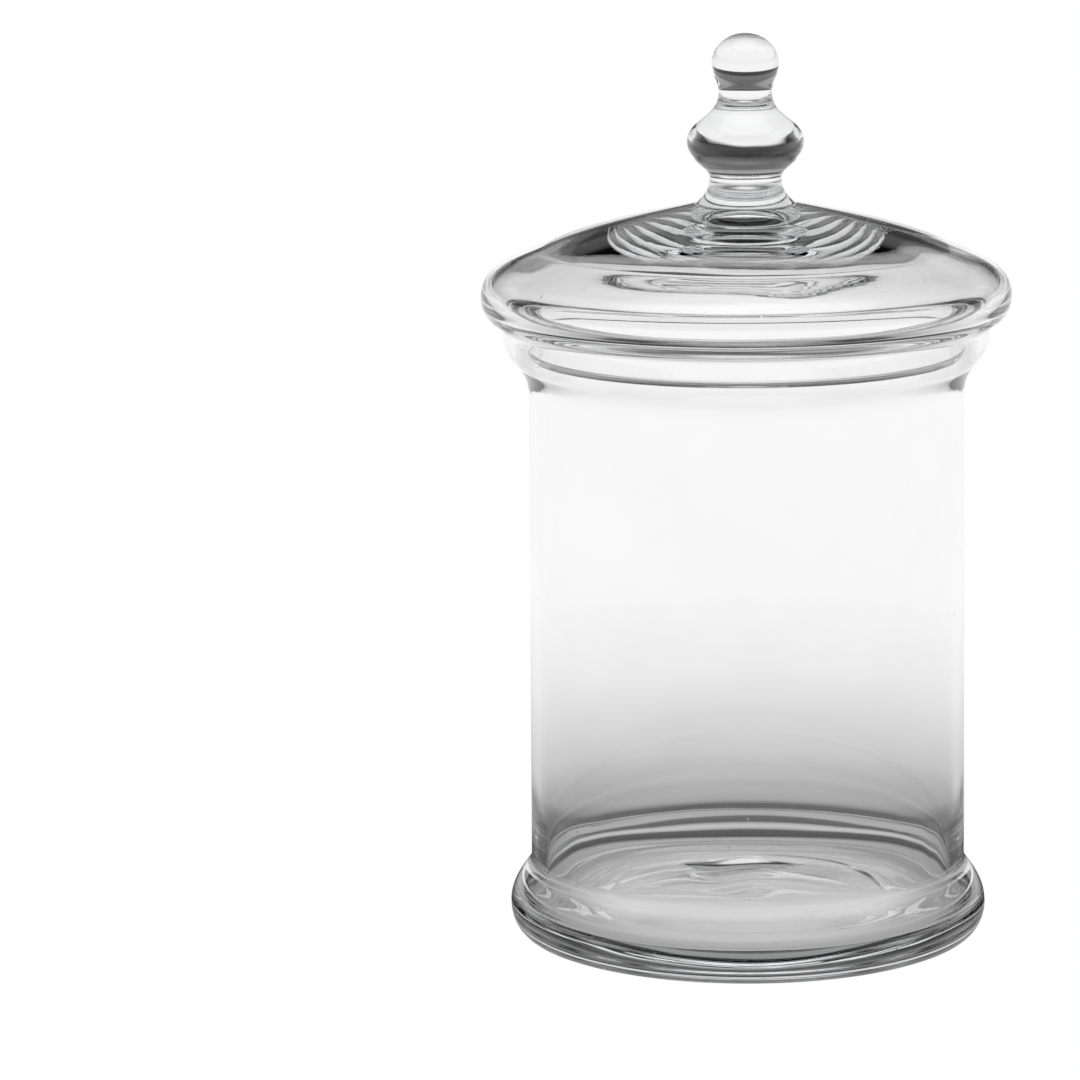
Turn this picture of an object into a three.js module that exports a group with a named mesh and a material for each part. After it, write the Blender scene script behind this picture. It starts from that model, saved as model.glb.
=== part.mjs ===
// Lidded glass apothecary jar: a blown cylinder with a flared collar, on a spreading foot that
// is hollow inside, closed by a domed drop-in lid with a solid knob.
// Millimetres, +Z up. The origin is the centre of the circle that the jar stands on.
import * as THREE from 'three';

// ---- driving dimensions -------------------------------------------------------------------

const JAR_SEGMENTS = 40;      // facets round the vessel and the lid
const KNOB_SEGMENTS = 32;     // facets round the knob
const CURVE_STEPS = 4;        // straight pieces along each curve of an outline
const ARC_STEPS = 3;          // straight pieces along each quarter round
const JOIN_GAP = 0.3;         // clearance between neighbours that do not meet face to face

const BODY_TOP_R = 89.5;      // outer radius of the cylinder, just under the collar
const BODY_LOW_R = 90.3;      // outer radius of the cylinder, at the foot
const WALL = 3.8;             // thickness of the cylinder wall
const THICKENS_Z = 62;        // height below which the wall thickens inwards
const THICKENS_R = 86.3;      // inner radius there
const JOIN_Z = 29;            // where the cylinder meets the foot
const JOIN_R = 85.2;          // inner radius there
const LOW_WALL = [[86.3, 50], [85.2, 40]];  // handles of the inside, down to the join

const COLLAR_BASE_Z = 226;    // where the cylinder starts to flare
const COLLAR_R = 100.2;       // outer radius of the collar
const COLLAR_EASE = 16;       // how gently the flare starts and ends
const LIP_Z = 257;            // top of the collar, which the lid rests on
const LIP_T = 4.2;            // thickness of the rounded lip

const FOOT_R = 99.1;          // widest radius of the foot
const FOOT_WIDEST_Z = 12;     // height of that widest ring
const FOOT_FLARE = [[99.1, 19], [95, 23.5]];  // handles, up to the cylinder
const HOLLOW_FOOT_R = 91;     // inner radius where the foot is widest
const SPREAD_EASE = [7, 5];   // how gently the inside starts and ends that spread
const CORNER_R = 3;           // rounding between that wall and the floor
const FLOOR_Z = 13;           // surface that the contents stand on
const STAND_R = 90.5;         // outer radius of the flat ring that touches the table
const RECESS_R = 79;          // inner radius of that ring
const RECESS_H = 1.6;         // depth of the hollow inside the ring

const SHOULDER_R = 109;       // widest radius of the lid
const SHOULDER_Z = 268;       // height of that widest ring
const SHOULDER_T = 4.7;       // thickness of the glass there
const SEAT_Z = LIP_Z + JOIN_GAP;  // underside of the shoulder, which rests on the collar
const SEAT_FILLET = 3;        // radius between the seat and the flange
const FLANGE_R = 90.2;        // outer radius of the flange that drops into the collar
const FLANGE_T = 5.5;         // thickness of the flange
const FLANGE_Z = 244.5;       // lower edge of the flange
const CROWN_Z = 305.4;        // flat on top of the dome, where the knob is joined
const CROWN_R = 20.5;         // radius of that flat
const CROWN_T = 9.9;          // thickness of the glass under the knob

// The lid's curves, as [radius, height] handles and ends. The dome is a gentle slope that
// breaks into a steeper one, which rolls over the shoulder to the seat.
const BREAK = [84, 287.6];
const DOME_TOP = [[68, 295], [45, 300]];
const DOME_SIDE = [[109, 279], [97, 282]];
const SHOULDER_ROLL = [[106, 257.3], [109, 262.5]];
const HOLLOW_BREAK = [82, 283.6];
const HOLLOW_TOP = [[45, 295.5], [70, 288.7]];
const HOLLOW_SIDE = [[94, 278.5], [104.3, 276]];
const HOLLOW_EDGE = [104.3, 269];
const HOLLOW_ROLL = [[104.3, 265], [102, 262.6]];
const HOLLOW_LEDGE = [97, 262];
const MOUTH_EDGE = [88.5, 260.4];
const MOUTH_ROLL = [[86.3, 260], [84.7, 258.8]];
const MOUTH_TOP = [84.7, 256];

const STEM_FLARE = [[17.6, 308.2], [14.7, 311.4]];  // handles, from the crown to the waist
const WAIST_R = 14.7;         // narrowest part of the knob's stem
const WAIST_Z = 316.4;
const KNOP_R = 23.9;          // the knob's wide bulge
const KNOP_Z = 331;
const KNOP_SWELL = [4.1, 8.5];
const NECK_R = 10.9;          // narrowest part under the ball
const NECK_Z = 351.5;
const NECK_SWELL = [9.5, 11];
const BALL_R = 13.7;          // the slightly flattened ball on top
const BALL_Z = 363.2;
const BALL_H = 12.1;
const BALL_SWELL = [3.3, 5.2];

// ---- materials ----------------------------------------------------------------------------

const THIN_GLASS = { color: 0xf1f5f5, roughness: 0.02, metalness: 0 };
const THICK_GLASS = { color: 0xe3ebec, roughness: 0.02, metalness: 0 };

// ---- outlines -----------------------------------------------------------------------------

// An outline is a list of (radius, height) points. It runs outwards along the underside and
// comes back over the top, so that the turned faces point out. It starts and ends on the axis,
// or at one and the same point where the piece is open through the middle.
class Outline {
  constructor(r, z) {
    this.points = [new THREE.Vector2(r, z)];
  }

  last() {
    return this.points[this.points.length - 1];
  }

  line(r, z) {
    this.points.push(new THREE.Vector2(r, z));
    return this;
  }

  // Bezier curve from the last point, by two handles, to an end point.
  curve(handles, end) {
    const controls = [...handles, end].map(([r, z]) => new THREE.Vector2(r, z));
    const bezier = new THREE.CubicBezierCurve(this.last(), ...controls);
    this.points.push(...bezier.getPoints(CURVE_STEPS).slice(1));
    return this;
  }

  // S-curve to a ring, parallel to the axis where it leaves and where it arrives.
  swell([leave, arrive], r, z) {
    const start = this.last();
    const way = Math.sign(z - start.y);
    return this.curve([[start.x, start.y + way * leave], [r, z - way * arrive]], [r, z]);
  }

  // Part of an ellipse about (r, z); the angles are in quarter turns from the outward side.
  arc(r, z, halfWidth, halfHeight, from, to) {
    const steps = ARC_STEPS * Math.abs(to - from);
    for (let i = 0; i <= steps; i += 1) {
      const angle = (from + (to - from) * i / steps) * Math.PI / 2;
      const point = [r + halfWidth * Math.cos(angle), z + halfHeight * Math.sin(angle)];
      if (!this.standsOn(...point)) this.line(...point);
    }
    return this;
  }

  // Whether the last point is already there.
  standsOn(r, z) {
    return Math.hypot(this.last().x - r, this.last().y - z) < 0.01;
  }
}

// A named solid of revolution about Z.
function turned(name, outline, look, segments) {
  const geometry = new THREE.LatheGeometry(outline.points, segments);
  geometry.rotateX(Math.PI / 2);
  const mesh = new THREE.Mesh(geometry, new THREE.MeshStandardMaterial(look));
  mesh.name = name;
  return mesh;
}

// ---- the pieces ---------------------------------------------------------------------------

// The blown cylinder, open at both ends, with an S-shaped collar and a rounded lip. Its foot end
// is one flat ring.
function vesselBody() {
  const innerTopR = BODY_TOP_R - WALL;
  const lipR = COLLAR_R - LIP_T / 2;
  const lipZ = LIP_Z - LIP_T / 2;
  const ease = [COLLAR_EASE, COLLAR_EASE];
  const outline = new Outline(JOIN_R, JOIN_Z)
    .line(BODY_LOW_R, JOIN_Z)
    .line(BODY_TOP_R, COLLAR_BASE_Z)
    .swell(ease, COLLAR_R, lipZ)
    .arc(lipR, lipZ, LIP_T / 2, LIP_T / 2, 0, 2)
    .swell(ease, innerTopR, COLLAR_BASE_Z)
    .line(THICKENS_R, THICKENS_Z)
    .curve(LOW_WALL, [JOIN_R, JOIN_Z]);
  return turned('vessel_body', outline, THIN_GLASS, JAR_SEGMENTS);
}

// The foot: a thick floor with a rim that draws in as it rises to meet the cylinder, so that the
// jar spreads at the bottom, inside and out. It stands on a flat ring.
function foot() {
  const outline = new Outline(0, RECESS_H)
    .line(RECESS_R - RECESS_H, RECESS_H)
    .line(RECESS_R, 0)
    .arc(STAND_R, FOOT_WIDEST_Z, FOOT_R - STAND_R, FOOT_WIDEST_Z, -1, 0)
    .curve(FOOT_FLARE, [BODY_LOW_R, JOIN_Z])
    .line(JOIN_R, JOIN_Z)
    .swell(SPREAD_EASE, HOLLOW_FOOT_R, FLOOR_Z + CORNER_R)
    .arc(HOLLOW_FOOT_R - CORNER_R, FLOOR_Z + CORNER_R, CORNER_R, CORNER_R, 0, -1)
    .line(0, FLOOR_Z);
  return turned('foot', outline, THICK_GLASS, JAR_SEGMENTS);
}

// The blown lid: a hollow dome whose shoulder rests on the collar, and the flange below it.
function lidShell() {
  const edgeR = FLANGE_T / 2;
  const flangeMiddleR = FLANGE_R - edgeR;
  const outline = new Outline(0, CROWN_Z - CROWN_T)
    .curve(HOLLOW_TOP, HOLLOW_BREAK)
    .curve(HOLLOW_SIDE, HOLLOW_EDGE)
    .curve(HOLLOW_ROLL, HOLLOW_LEDGE)
    .line(...MOUTH_EDGE)
    .curve(MOUTH_ROLL, MOUTH_TOP)
    .arc(flangeMiddleR, FLANGE_Z + edgeR, edgeR, edgeR, 2, 4)
    .arc(FLANGE_R + SEAT_FILLET, SEAT_Z - SEAT_FILLET, SEAT_FILLET, SEAT_FILLET, 2, 1)
    .line(COLLAR_R, SEAT_Z)
    .curve(SHOULDER_ROLL, [SHOULDER_R, SHOULDER_Z])
    .curve(DOME_SIDE, BREAK)
    .curve(DOME_TOP, [CROWN_R, CROWN_Z])
    .line(0, CROWN_Z);
  return turned('lid_shell', outline, THIN_GLASS, JAR_SEGMENTS);
}

// The solid knob: a flared stem, a wide knop, a neck and a ball.
function finial() {
  const outline = new Outline(0, CROWN_Z)
    .line(CROWN_R, CROWN_Z)
    .curve(STEM_FLARE, [WAIST_R, WAIST_Z])
    .swell(KNOP_SWELL, KNOP_R, KNOP_Z)
    .swell(NECK_SWELL, NECK_R, NECK_Z)
    .swell(BALL_SWELL, BALL_R, BALL_Z)
    .arc(0, BALL_Z, BALL_R, BALL_H, 0, 1);
  return turned('finial', outline, THICK_GLASS, KNOB_SEGMENTS);
}

const jar = new THREE.Group();
jar.add(vesselBody(), foot(), lidShell(), finial());

export default jar;
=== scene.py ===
"""A tall clear glass apothecary jar with a flared collar, a spread foot and a domed, knobbed lid.

The vessel and the lid are each one fused piece of glass, turned from a fine outline and then
given the slight unevenness of blown work. Lengths are in metres, or in millimetres where MM
multiplies them.
"""

import math

import bpy
from mathutils import Matrix, Vector, noise


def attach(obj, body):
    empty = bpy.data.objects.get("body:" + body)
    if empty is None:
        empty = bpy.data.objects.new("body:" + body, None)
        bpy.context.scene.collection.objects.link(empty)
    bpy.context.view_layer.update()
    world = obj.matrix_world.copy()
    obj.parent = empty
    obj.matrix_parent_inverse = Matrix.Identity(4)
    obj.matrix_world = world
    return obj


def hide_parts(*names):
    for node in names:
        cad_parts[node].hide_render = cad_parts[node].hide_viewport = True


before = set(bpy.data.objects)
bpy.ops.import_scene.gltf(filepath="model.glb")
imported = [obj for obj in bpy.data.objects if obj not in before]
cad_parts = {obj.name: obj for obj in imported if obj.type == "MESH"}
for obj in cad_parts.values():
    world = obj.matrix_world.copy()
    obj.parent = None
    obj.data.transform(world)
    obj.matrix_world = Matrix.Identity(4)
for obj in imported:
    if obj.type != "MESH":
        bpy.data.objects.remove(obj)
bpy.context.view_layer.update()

MM = 0.001

# ---- outlines of the glass, in millimetres -------------------------------------------------

CURVE_STEPS = 16  # straight pieces along each curve of an outline
ARC_STEPS = 8  # straight pieces along each quarter round
BLEND_STEPS = 6  # where the cylinder meets the foot
WALL_STEPS = 30
INNER_WALL_STEPS = 24
LOW_WALL_STEPS = 12
RECESS_STEPS = 60
FLOOR_STEPS = 90  # close enough for the thin rings to show
HOLLOW_STEPS = 40
LEDGE_STEPS = 6
SEAT_STEPS = 3
DOME_STEPS = 100  # close enough for the rings round the knob to show
VESSEL_TURNS = 264  # facets round the vessel
LID_TURNS = 240  # facets round the lid
SAME_POINT = 0.001  # points of an outline closer than this count as one

BODY_TOP_R = 89.5
BODY_LOW_R = 90.3
WALL = 3.8
THICKENS = (86.3, 62)  # below this, the wall thickens inwards
LOW_WALL = [(86.3, 50), (85.2, 40)]
JOIN = (85.2, 29)  # where the CAD's cylinder and foot meet inside
COLLAR_BASE_Z = 226
COLLAR_R = 100.2
COLLAR_EASE = 16
LIP_Z = 257
LIP_T = 4.2

FOOT_R = 99.1
FOOT_WIDEST_Z = 12
FOOT_FLARE = [(99.1, 19), (95, 23.5)]
FOOT_TOP = (BODY_LOW_R + 0.8, 29)
FOOT_BLEND = [(BODY_LOW_R, 30.5), (BODY_LOW_R, 32)]  # handles, into the cylinder
FOOT_BLEND_Z = 36
HOLLOW_FOOT_R = 91
SPREAD_EASE = (7, 5)
CORNER_R = 3
FLOOR_Z = 13
STAND_R = 90.5
RECESS_R = 79
RECESS_H = 1.6
RECESS_DISH = [(30, 1.6), (58, 0)]

SHOULDER_R = 109
SHOULDER_Z = 268
SEAT_Z = 257.3
SEAT_FILLET = 3
FLANGE_R = 90.2
FLANGE_T = 5.5
FLANGE_Z = 244.5
CROWN_Z = 305.4
CROWN_R = 20.5
CROWN_T = 9.9
BREAK = (84, 287.6)
DOME_TOP = [(68, 295), (45, 300)]
DOME_SIDE = [(109, 279), (97, 282)]
SHOULDER_ROLL = [(106, 257.3), (109, 262.5)]
HOLLOW_BREAK = (82, 283.6)
HOLLOW_TOP = [(45, 295.5), (70, 288.7)]
HOLLOW_SIDE = [(94, 278.5), (104.3, 276)]
HOLLOW_EDGE = (104.3, 269)
HOLLOW_ROLL = [(104.3, 265), (102, 262.6)]
HOLLOW_LEDGE = (97, 262)
MOUTH_EDGE = (88.5, 260.4)
MOUTH_ROLL = [(86.3, 260), (84.7, 258.8)]
MOUTH_TOP = (84.7, 256)

STEM_FLARE = [(17.6, 308.2), (14.7, 311.4)]
WAIST = (14.7, 316.4)
KNOP = (23.9, 331)
KNOP_SWELL = (4.1, 8.5)
NECK = (10.9, 351.5)
NECK_SWELL = (9.5, 11)
BALL = (13.7, 363.2)
BALL_SWELL = (3.3, 5.2)
BALL_H = 12.1


class Outline:
    """A list of (radius, height) points, from the axis out along the underside and back over the top."""

    def __init__(self, r, z):
        self.points = [(r, z)]
        self.zones = [(0, None)]

    def zone(self, uneven):
        """The points from here on are made uneven by this function."""
        self.zones.append((len(self.points), uneven))

    def line(self, r, z, steps=1):
        """A straight stretch, cut into steps so that it can be made uneven later."""
        r0, z0 = self.points[-1]
        for i in range(1, steps + 1):
            t = i / steps
            self.points.append((r0 + (r - r0) * t, z0 + (z - z0) * t))

    def curve(self, handles, end, steps=CURVE_STEPS):
        """A Bezier curve by two handles to an end point."""
        a, (b, c), d = self.points[-1], handles, end
        for i in range(1, steps + 1):
            t = i / steps
            s = 1 - t
            weights = (s * s * s, 3 * s * s * t, 3 * s * t * t, t * t * t)
            self.points.append(tuple(
                sum(w * p[axis] for w, p in zip(weights, (a, b, c, d))) for axis in (0, 1)
            ))

    def swell(self, ease, r, z):
        """An S-curve to a ring, parallel to the axis where it leaves and where it arrives."""
        r0, z0 = self.points[-1]
        way = math.copysign(1, z - z0)
        self.curve([(r0, z0 + way * ease[0]), (r, z - way * ease[1])], (r, z))

    def arc(self, r, z, half_width, half_height, start, end):
        """Part of an ellipse about (r, z), in quarter turns from the outward side."""
        steps = ARC_STEPS * abs(end - start)
        for i in range(steps + 1):
            angle = (start + (end - start) * i / steps) * math.pi / 2
            point = (r + half_width * math.cos(angle), z + half_height * math.sin(angle))
            if math.dist(point, self.points[-1]) > SAME_POINT:
                self.points.append(point)


def vessel_outline():
    """Hollowed underside, foot, cylinder, collar, lip, then down the inside to the floor."""
    lip_r = COLLAR_R - LIP_T / 2
    lip_z = LIP_Z - LIP_T / 2
    ease = (COLLAR_EASE, COLLAR_EASE)
    corner_z = FLOOR_Z + CORNER_R
    outline = Outline(0, RECESS_H)
    outline.zone(pontil)
    outline.curve(RECESS_DISH, (RECESS_R, 0), RECESS_STEPS)
    outline.zone(None)
    outline.arc(STAND_R, FOOT_WIDEST_Z, FOOT_R - STAND_R, FOOT_WIDEST_Z, -1, 0)
    outline.zone(flare_waves)
    outline.curve(FOOT_FLARE, FOOT_TOP)
    outline.curve(FOOT_BLEND, (BODY_LOW_R, FOOT_BLEND_Z), BLEND_STEPS)
    outline.zone(wall_cords)
    outline.line(BODY_TOP_R, COLLAR_BASE_Z, WALL_STEPS)
    outline.swell(ease, COLLAR_R, lip_z)
    outline.zone(None)
    outline.arc(lip_r, lip_z, LIP_T / 2, LIP_T / 2, 0, 2)
    outline.zone(wall_cords)
    outline.swell(ease, BODY_TOP_R - WALL, COLLAR_BASE_Z)
    outline.line(*THICKENS, INNER_WALL_STEPS)
    outline.curve(LOW_WALL, JOIN, LOW_WALL_STEPS)
    outline.zone(flare_waves)
    outline.swell(SPREAD_EASE, HOLLOW_FOOT_R, corner_z)
    outline.arc(HOLLOW_FOOT_R - CORNER_R, corner_z, CORNER_R, CORNER_R, 0, -1)
    outline.zone(floor_rings)
    outline.line(0, FLOOR_Z, FLOOR_STEPS)
    return outline


def lid_outline():
    """Hollow of the dome, flange, seat, shoulder, dome, then the solid knob."""
    edge_r = FLANGE_T / 2
    outline = Outline(0, CROWN_Z - CROWN_T)
    outline.zone(hollow_waves)
    outline.curve(HOLLOW_TOP, HOLLOW_BREAK, HOLLOW_STEPS)
    outline.curve(HOLLOW_SIDE, HOLLOW_EDGE)
    outline.curve(HOLLOW_ROLL, HOLLOW_LEDGE)
    outline.line(*MOUTH_EDGE, LEDGE_STEPS)
    outline.curve(MOUTH_ROLL, MOUTH_TOP)
    outline.zone(None)
    outline.arc(FLANGE_R - edge_r, FLANGE_Z + edge_r, edge_r, edge_r, 2, 4)
    outline.arc(FLANGE_R + SEAT_FILLET, SEAT_Z - SEAT_FILLET, SEAT_FILLET, SEAT_FILLET, 2, 1)
    outline.line(COLLAR_R, SEAT_Z, SEAT_STEPS)
    outline.curve(SHOULDER_ROLL, (SHOULDER_R, SHOULDER_Z))
    outline.zone(crown_rings)
    outline.curve(DOME_SIDE, BREAK)
    outline.curve(DOME_TOP, (CROWN_R, CROWN_Z), DOME_STEPS)
    outline.zone(knob_waves)
    outline.curve(STEM_FLARE, WAIST)
    outline.swell(KNOP_SWELL, *KNOP)
    outline.swell(NECK_SWELL, *NECK)
    outline.swell(BALL_SWELL, *BALL)
    outline.arc(0, BALL[1], BALL[0], BALL_H, 0, 1)
    return outline


# ---- unevenness of blown glass -------------------------------------------------------------
# Each zone function takes a place on the glass, in millimetres, and gives how far it is pushed
# out (radially) and up. Waves are given as (height, breadth), also in millimetres, and a ring
# between two radii, or two heights, as (from, to, how far it takes to fade out).

PONTIL_DIMPLE = (0.1, 9)  # depth and radius
UNDERSIDE_WAVES = (0.2, 40)
UNDERSIDE_RING = (0, 62, 12)

TWIST = Vector((-6, 44, 0))  # where a fold of the gather lies in the floor, behind the centre
TWIST_HIGH = 1.0
TWIST_LONG = 15  # half its length
TWIST_WIDE = 5.5
TWIST_SWAY = 3  # how far it sways to and fro
TWIST_TURN = 6  # how far along it the sway takes to turn
FLOOR_RINGS = (58, 66, 75, 83)  # radii of the thin rings left by spinning
RING_HIGH = 0.14
RING_WIDE = 1.3
RING_STRENGTH = (0.5, 1.6)  # on average, and how much it varies round the ring
RING_PATCHES = 55
RING_WANDER = (3, 70)
FLOOR_WAVES = (0.2, 34)
FLOOR_RING = (0, 84, 4)

FLARE_WAVES = (0.15, 40)
CORDS = (0.03, 9)
WALL_WAVES = (0.12, 45)
CORD_LENGTH = 12  # how many times longer than broad

HOLLOW_WAVES = (0.2, 40)
HOLLOW_RING = (0, 92, 8)
DOME_WAVES = (0.2, 50)
DOME_RING = (30, 96, 8)
SPIN_HIGH = 0.006  # close rings round the knob
SPIN_PITCH = 0.62
SPIN_STRENGTH = (0.2, 1.5)
SPIN_PATCHES = 30
SPIN_WANDER = (7, 50)
SPIN_RING = (26, 52, 8)

KNOB_WAVES = (0.16, 12)
KNOB_SPAN = (316, 372, 6)  # heights


def drift(place, breadth, seed):
    """Smooth, repeatable unevenness between about -1 and 1. Seeds only keep patterns apart."""
    return noise.noise(place / breadth + Vector((seed, 2 * seed, 3 * seed)))


def waves(place, shape, seed):
    """Drift with a height and a breadth."""
    height, breadth = shape
    return height * drift(place, breadth, seed)


def patches(place, strength, breadth, seed):
    """How strongly a pattern shows at a place: it comes and goes, and is never below 0."""
    average, varies = strength
    return max(0, average + varies * drift(place, breadth, seed))


def band(value, start, end, ease):
    """1 between start and end, falling smoothly to 0 over ease on either side."""
    def step(t):
        t = min(max(t, 0), 1)
        return t * t * (3 - 2 * t)
    return step((value - start) / ease + 1) * step((end - value) / ease + 1)


def pontil(place, r):
    """Underside: broad low waves, and a shallow dimple where the pontil was broken off."""
    depth, radius = PONTIL_DIMPLE
    dimple = depth * math.exp(-(r / radius) ** 2)
    return 0, dimple + waves(place, UNDERSIDE_WAVES, 7) * band(r, *UNDERSIDE_RING)


def floor_rings(place, r):
    """Floor: thin rings that come and go, broad low waves, and one S-shaped fold."""
    along, across = place.x - TWIST.x, place.y - TWIST.y
    across -= TWIST_SWAY * math.sin(along / TWIST_TURN)
    fold = TWIST_HIGH * math.exp(-(along / TWIST_LONG) ** 2 - (across / TWIST_WIDE) ** 2)
    rings = 0
    for ring in FLOOR_RINGS:
        strength = patches(place, RING_STRENGTH, RING_PATCHES, ring)
        middle = ring + waves(place, RING_WANDER, 2 * ring)
        rings += RING_HIGH * strength * math.exp(-((r - middle) / RING_WIDE) ** 2)
    return 0, fold + (rings + waves(place, FLOOR_WAVES, 13)) * band(r, *FLOOR_RING)


def flare_waves(place, r):
    """Foot, inside and out: tooled round by hand, so its flare swells and thins a little."""
    return waves(place, FLARE_WAVES, 17), 0


def wall_cords(place, r):
    """Cylinder and collar: upright cords, long and faint."""
    tall = Vector((place.x, place.y, place.z / CORD_LENGTH))
    return waves(tall, CORDS, 19) + waves(tall, WALL_WAVES, 23), 0


def hollow_waves(place, r):
    """Inside of the dome: slow bulges, as blown."""
    return 0, waves(place, HOLLOW_WAVES, 29) * band(r, *HOLLOW_RING)


def crown_rings(place, r):
    """Outside of the dome: faint close rings round the knob, over slow bulges."""
    strength = patches(place, SPIN_STRENGTH, SPIN_PATCHES, 37) * band(r, *SPIN_RING)
    rings = SPIN_HIGH * strength * math.sin(r / SPIN_PITCH + waves(place, SPIN_WANDER, 41))
    return 0, rings + waves(place, DOME_WAVES, 43) * band(r, *DOME_RING)


def knob_waves(place, r):
    """Knob: shaped hot, so no ring of it is quite true."""
    return waves(place, KNOB_WAVES, 47) * band(place.z, *KNOB_SPAN), 0


def uneven_ring(uneven, r, z, turns):
    """The points of one ring, in metres, after its zone's unevenness."""
    for k in range(turns):
        angle = 2 * math.pi * k / turns
        place = Vector((r * math.cos(angle), r * math.sin(angle), z))
        out, up = uneven(place, r) if uneven else (0, 0)
        yield ((r + out) * MM * math.cos(angle), (r + out) * MM * math.sin(angle), (z + up) * MM)


def turned(name, outline, turns):
    """A closed, smooth mesh of revolution about Z from an outline that starts and ends on the axis."""
    mesh = bpy.data.meshes.new(name)
    vertices = []
    for index, (r, z) in enumerate(outline.points):
        uneven = [zone for start, zone in outline.zones if start <= index][-1]
        pole = index in (0, len(outline.points) - 1)
        vertices.extend(uneven_ring(uneven, 0 if pole else r, z, 1 if pole else turns))
    last = len(vertices) - 1
    faces = []
    for k in range(turns):
        nxt = (k + 1) % turns
        faces.append((0, 1 + nxt, 1 + k))
        for low in range(1, last - turns, turns):
            high = low + turns
            faces.append((low + k, low + nxt, high + nxt, high + k))
        faces.append((last - turns + k, last - turns + nxt, last))
    mesh.from_pydata(vertices, [], faces)
    mesh.shade_smooth()
    mesh.validate()
    piece = bpy.data.objects.new(name, mesh)
    bpy.context.scene.collection.objects.link(piece)
    return piece


# ---- material ------------------------------------------------------------------------------

GLASS_IOR = 1.5
GLASS_TINT = (0.87, 0.88, 0.90, 1)
GLASS_ABSORPTION = 3.0
FILM_SCALE = 30
FILM = [(0.35, 0.985), (0.65, 1.0)]  # noise level, and how much light the surface passes there
CORD_SCALE = 60
CORD_BUMP = (0.05, 0.2)  # strength, and height in millimetres
SEED_SCALE = 90
SEED_DOTS = [(0.02, 1.0), (0.05, 0.0)]  # distance from a seed's middle, and its height there
SEED_BUMP = (0.25, 0.15)


def clear_glass(name):
    """Blown soda glass: faintly grey in the thick parts, with fine cords and pinprick seeds."""
    material = bpy.data.materials.new(name)
    material.use_nodes = True
    tree = material.node_tree
    shader = tree.nodes["Principled BSDF"]
    shader.inputs["Roughness"].default_value = 0.0
    shader.inputs["IOR"].default_value = GLASS_IOR
    shader.inputs["Transmission Weight"].default_value = 1.0
    place = tree.nodes.new("ShaderNodeTexCoord").outputs["Object"]
    film = texture(tree, "ShaderNodeTexNoise", place, FILM_SCALE)
    tree.links.new(ramp(tree, FILM, film.outputs["Fac"]), shader.inputs["Base Color"])
    cords = texture(tree, "ShaderNodeTexNoise", place, CORD_SCALE)
    seeds = texture(tree, "ShaderNodeTexVoronoi", place, SEED_SCALE)
    dots = ramp(tree, SEED_DOTS, seeds.outputs["Distance"])
    dents = bump(tree, dots, SEED_BUMP, bump(tree, cords.outputs["Fac"], CORD_BUMP))
    tree.links.new(dents, shader.inputs["Normal"])
    absorption = tree.nodes.new("ShaderNodeVolumeAbsorption")
    absorption.inputs["Color"].default_value = GLASS_TINT
    absorption.inputs["Density"].default_value = GLASS_ABSORPTION
    tree.links.new(absorption.outputs["Volume"], tree.nodes["Material Output"].inputs["Volume"])
    return material


def texture(tree, kind, place, scale):
    """A procedural texture on the object's own coordinates."""
    node = tree.nodes.new(kind)
    node.inputs["Scale"].default_value = scale
    tree.links.new(place, node.inputs["Vector"])
    return node


def bump(tree, height, size, normal=None):
    """A bump of this (strength, height in millimetres), over another one if given."""
    strength, high = size
    node = tree.nodes.new("ShaderNodeBump")
    node.inputs["Strength"].default_value = strength
    node.inputs["Distance"].default_value = high * MM
    tree.links.new(height, node.inputs["Height"])
    if normal:
        tree.links.new(normal, node.inputs["Normal"])
    return node.outputs["Normal"]


# ---- stage, light and camera ---------------------------------------------------------------

AXIS_DISTANCE = 2.358  # from the camera to the jar's axis, level
CAMERA_HEIGHT = 0.631
CAMERA_PITCH = math.radians(11.17)
CAMERA_YAW = math.radians(2.08)
CAMERA_ROLL = math.radians(-0.58)
LENS = 193.3
SENSOR_WIDTH = 36


def add_camera():
    data = bpy.data.cameras.new("camera")
    data.lens = LENS
    data.sensor_width = SENSOR_WIDTH
    camera = bpy.data.objects.new("camera", data)
    turn = Matrix.Rotation(CAMERA_YAW, 4, "Z") @ Matrix.Rotation(math.pi / 2 - CAMERA_PITCH, 4, "X")
    camera.matrix_world = (Matrix.Translation((0, -AXIS_DISTANCE, CAMERA_HEIGHT)) @ turn
                           @ Matrix.Rotation(CAMERA_ROLL, 4, "Z"))
    bpy.context.scene.collection.objects.link(camera)
    bpy.context.scene.camera = camera


def ramp(tree, stops, factor):
    """A colour ramp through (position, grey) stops."""
    node = tree.nodes.new("ShaderNodeValToRGB")
    elements = node.color_ramp.elements
    while len(elements) < len(stops):
        elements.new(0.5)
    for element, (position, grey) in zip(elements, stops):
        element.position = position
        element.color = (grey, grey, grey, 1)
    tree.links.new(factor, node.inputs["Fac"])
    return node.outputs["Color"]


def math_node(tree, operation, *values):
    node = tree.nodes.new("ShaderNodeMath")
    node.operation = operation
    for socket, value in zip(node.inputs, values):
        if isinstance(value, (int, float)):
            socket.default_value = value
        else:
            tree.links.new(value, socket)
    return node.outputs[0]


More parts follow.
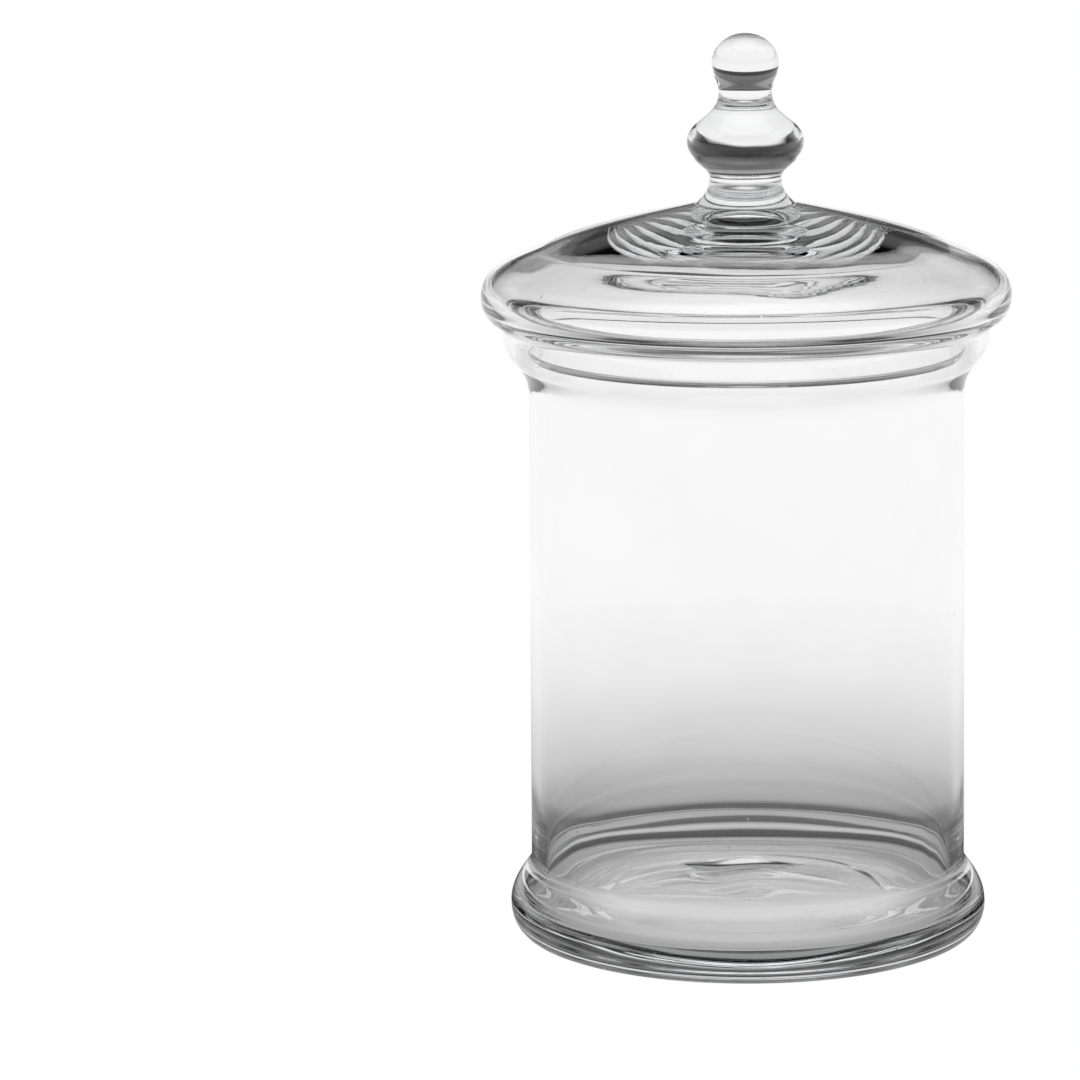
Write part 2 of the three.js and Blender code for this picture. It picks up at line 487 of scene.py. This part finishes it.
# Brightness of the studio, as seen in the glass. The table's light and shade are painted into the
# floor's glow: pale under the jar, a painted shadow of the jar in a dark ring round its foot, and pale
# again further out. A low pale sweep closes the table all round, a dim wall shows above a dark gap, and
# over that the room is dark but for two side lamps and a light overhead. The camera itself sees only
# plain white.
BACKGROUND = 1.0  # what the camera sees of the table and the room
TABLE_R = 6.0
TABLE_SIDES = 64
RIGHT_ANGLE = 90
# painted light and shade of the table: a painted shadow of the jar darkens a ring round its foot
TABLE_PAINTED_LIGHT_AND_SHADOW = [(0.0, 0.88), (0.06, 0.85), (0.085, 0.4), (0.11, 0.4), (0.125, 0.03), (0.18, 0.05),
         (0.21, 0.35), (0.3, 0.6), (0.5, 0.86), (0.7, 0.96)]  # metres from the jar's axis
SWEEP = [(0, 0.95), (3.5, 0.95), (4.5, 0.02), (8, 0.02), (10, 0.15), (16, 0.12), (19, 0.3),
         (25, 0.3), (28, 0.02), (36, 0.0), (56, 0.0), (62, 1.0), (90, 1.8)]  # degrees upwards
LAMP_SIDE = [(18, 1.0), (24, 0.0)]  # degrees either way from straight left or right
LAMP_HEIGHT = [(36, 0.0), (40, 0.8), (52, 0.8), (56, 0.0)]  # degrees above the horizon


def seen_or_lit(tree, seen, lit):
    """Picks the backdrop's colour for the camera, and the studio's brightness for all other rays."""
    path = tree.nodes.new("ShaderNodeLightPath")
    mix = tree.nodes.new("ShaderNodeMix")
    mix.data_type = "RGBA"
    tree.links.new(path.outputs["Is Camera Ray"], mix.inputs["Factor"])
    tree.links.new(lit, mix.inputs["A"])
    mix.inputs["B"].default_value = (seen, seen, seen, 1)
    return mix.outputs["Result"]


def angle_ramp(tree, stops, angle):
    """A ramp whose positions are given in degrees, from 0 to 90."""
    return ramp(tree, [(at / RIGHT_ANGLE, grey) for at, grey in stops],
                math_node(tree, "DIVIDE", angle, RIGHT_ANGLE))


def degrees(tree, angle):
    return math_node(tree, "MULTIPLY", angle, 180 / math.pi)


def from_side(tree, split):
    """Degrees between a direction and the jar's left or right, whichever is nearer."""
    x = math_node(tree, "ABSOLUTE", split.outputs["X"])
    y = math_node(tree, "ABSOLUTE", split.outputs["Y"])
    return degrees(tree, math_node(tree, "ARCTAN2", y, x))


def add_floor():
    bpy.ops.mesh.primitive_circle_add(vertices=TABLE_SIDES, radius=TABLE_R, fill_type="NGON")
    floor = bpy.context.object
    floor.name = "floor"
    material = bpy.data.materials.new("floor")
    material.use_nodes = True
    tree = material.node_tree
    tree.nodes.clear()
    output = tree.nodes.new("ShaderNodeOutputMaterial")
    emission = tree.nodes.new("ShaderNodeEmission")
    place = tree.nodes.new("ShaderNodeNewGeometry").outputs["Position"]
    length = tree.nodes.new("ShaderNodeVectorMath")
    length.operation = "LENGTH"
    tree.links.new(place, length.inputs[0])
    # painted light and shade: for the glass, the floor glows with the table's light and a painted shadow
    # of the jar round its foot
    lit = ramp(tree, TABLE_PAINTED_LIGHT_AND_SHADOW, length.outputs["Value"])
    tree.links.new(seen_or_lit(tree, BACKGROUND, lit), emission.inputs["Color"])
    tree.links.new(emission.outputs["Emission"], output.inputs["Surface"])
    floor.data.materials.append(material)


def add_world():
    world = bpy.data.worlds.new("studio")
    bpy.context.scene.world = world
    world.use_nodes = True
    tree = world.node_tree
    background = tree.nodes["Background"]
    split = tree.nodes.new("ShaderNodeSeparateXYZ")
    tree.links.new(tree.nodes.new("ShaderNodeTexCoord").outputs["Generated"], split.inputs[0])
    height = degrees(tree, math_node(tree, "ARCSINE", split.outputs["Z"]))
    lamp = math_node(tree, "MULTIPLY", angle_ramp(tree, LAMP_SIDE, from_side(tree, split)),
                     angle_ramp(tree, LAMP_HEIGHT, height))
    lit = math_node(tree, "ADD", angle_ramp(tree, SWEEP, height), lamp)
    tree.links.new(seen_or_lit(tree, BACKGROUND, lit), background.inputs["Color"])


# ---- the scene -----------------------------------------------------------------------------

vessel = turned("vessel_glass", vessel_outline(), VESSEL_TURNS)
vessel.data.materials.append(clear_glass("vessel_glass"))
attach(vessel, "vessel")
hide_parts("vessel_body", "foot")

lid = turned("lid_glass", lid_outline(), LID_TURNS)
lid.data.materials.append(clear_glass("lid_glass"))
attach(lid, "lid")
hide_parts("lid_shell", "finial")

add_camera()
add_floor()
add_world()

GLASS_BOUNCES = 32
GLOSSY_BOUNCES = 16

scene = bpy.context.scene
scene.view_settings.view_transform = "Standard"
scene.cycles.max_bounces = GLASS_BOUNCES
scene.cycles.transmission_bounces = GLASS_BOUNCES
scene.cycles.glossy_bounces = GLOSSY_BOUNCES
scene.cycles.transparent_max_bounces = GLASS_BOUNCES
